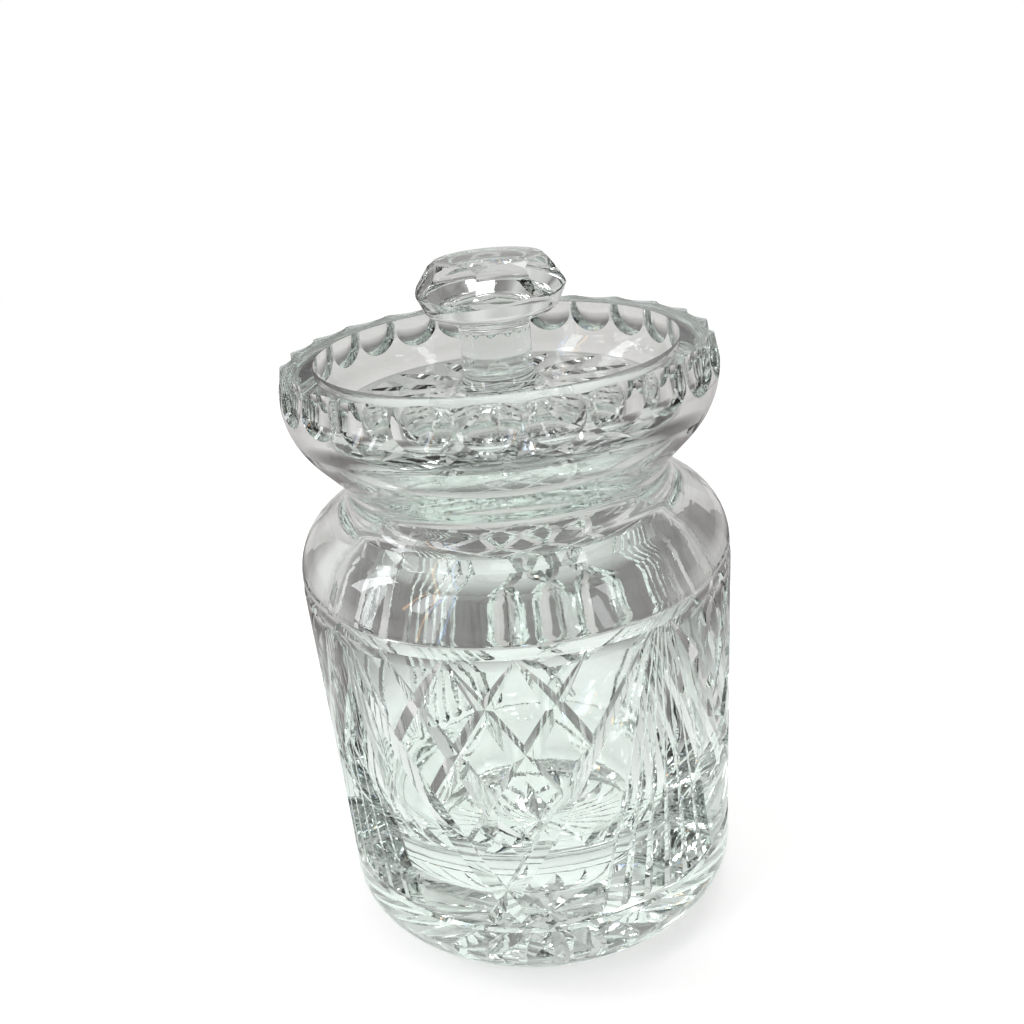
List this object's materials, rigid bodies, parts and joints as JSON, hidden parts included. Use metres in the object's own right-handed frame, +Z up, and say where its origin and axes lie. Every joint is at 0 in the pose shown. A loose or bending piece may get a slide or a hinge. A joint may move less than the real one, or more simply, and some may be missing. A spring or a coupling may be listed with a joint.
{
  "type": "covered powder jar",
  "caption": "Round cut-crystal jar with a flared cup rim, lattice and fan cuts, and a loose lid with a faceted knob and a spoon notch.",
  "frame": {"origin": "centre of the foot, on the surface the jar stands on", "axes": "+Z up along the jar's axis; the middle of a lattice panel faces -Y; the notch in the seated lid's rim points to -X"},
  "size_m": [0.0822, 0.0822, 0.1309],
  "materials": {
    "crystal": "polished clear crystal"
  },
  "bodies": {
    "jar": {"jar": "crystal"},
    "lid": {"lid": "crystal"}
  },
  "joints": [
    {"name": "lid_lift", "type": "slide", "parent": "jar", "child": "lid", "axis": [0, 0, 1], "range_m": [0, 0.035]}
  ]
}
